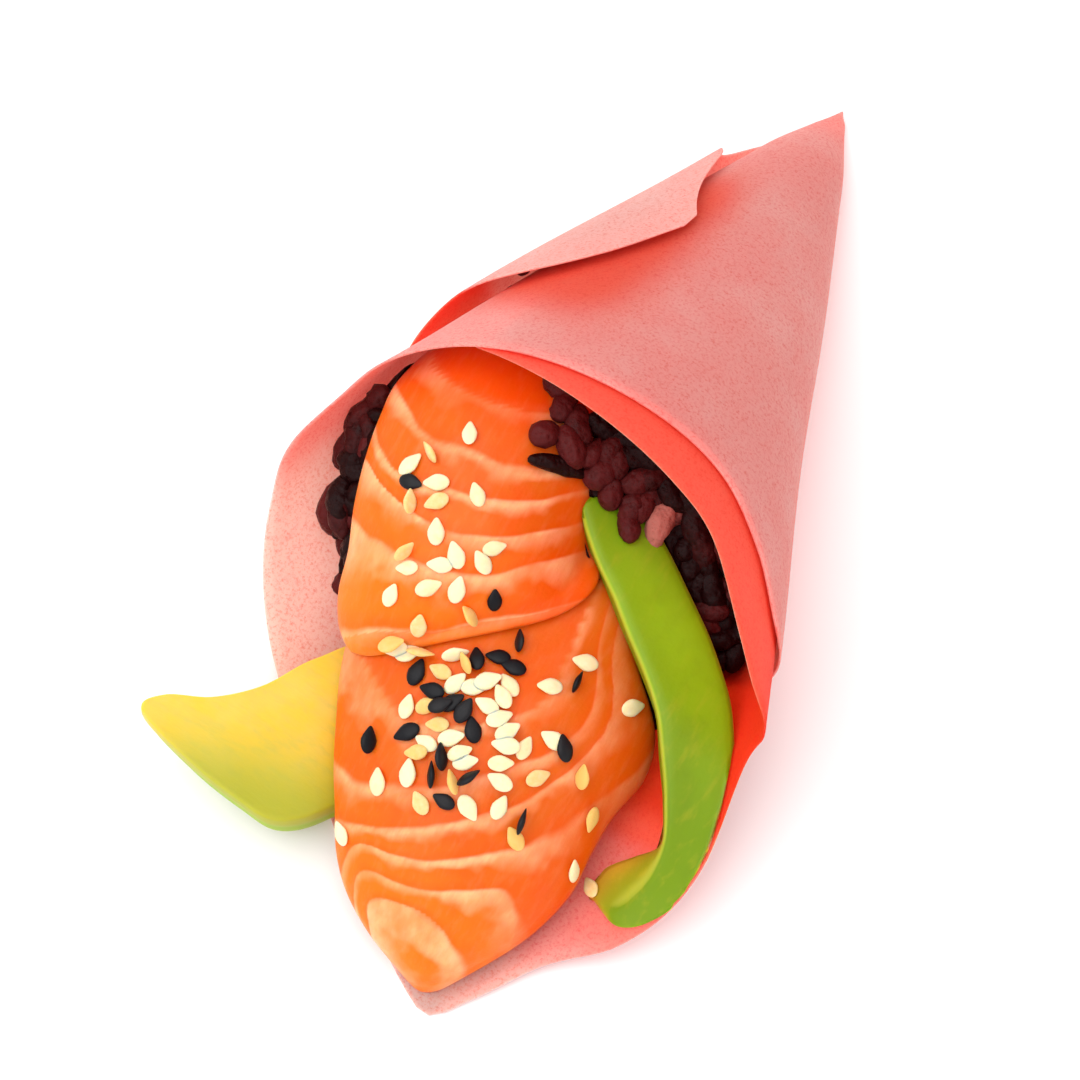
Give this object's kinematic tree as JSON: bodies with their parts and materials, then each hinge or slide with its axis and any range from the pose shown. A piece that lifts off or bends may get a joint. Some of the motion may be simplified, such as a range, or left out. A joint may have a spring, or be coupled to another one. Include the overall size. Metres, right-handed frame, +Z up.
{
  "type": "salmon hand roll",
  "caption": "Cone-shaped hand roll in a pink soy paper sheet, filled with black rice, salmon slices and avocado, sprinkled with sesame seeds, lying on its side.",
  "frame": {"origin": "on the paper's resting face, under the middle of the cone", "axes": "+Y along the roll to its closed tip, +Z up, +X to the right seen from the mouth"},
  "size_m": [0.0663, 0.1325, 0.043],
  "materials": {
    "soy_paper": "matte, slightly translucent pink soy paper",
    "black_rice": "moist cooked black rice",
    "salmon": "moist raw salmon with pale fat lines",
    "avocado_green": "soft avocado flesh, green at its outer edge",
    "avocado_yellow": "soft avocado flesh, yellow cut face"
  },
  "bodies": {
    "root": {"soy_paper_wrapper": "soy_paper", "black_rice_heap": "black_rice", "salmon_slice_upper": "salmon", "salmon_slice_lower": "salmon", "avocado_slice_right": "avocado_green", "avocado_slice_left": "avocado_yellow"}
  },
  "joints": []
}
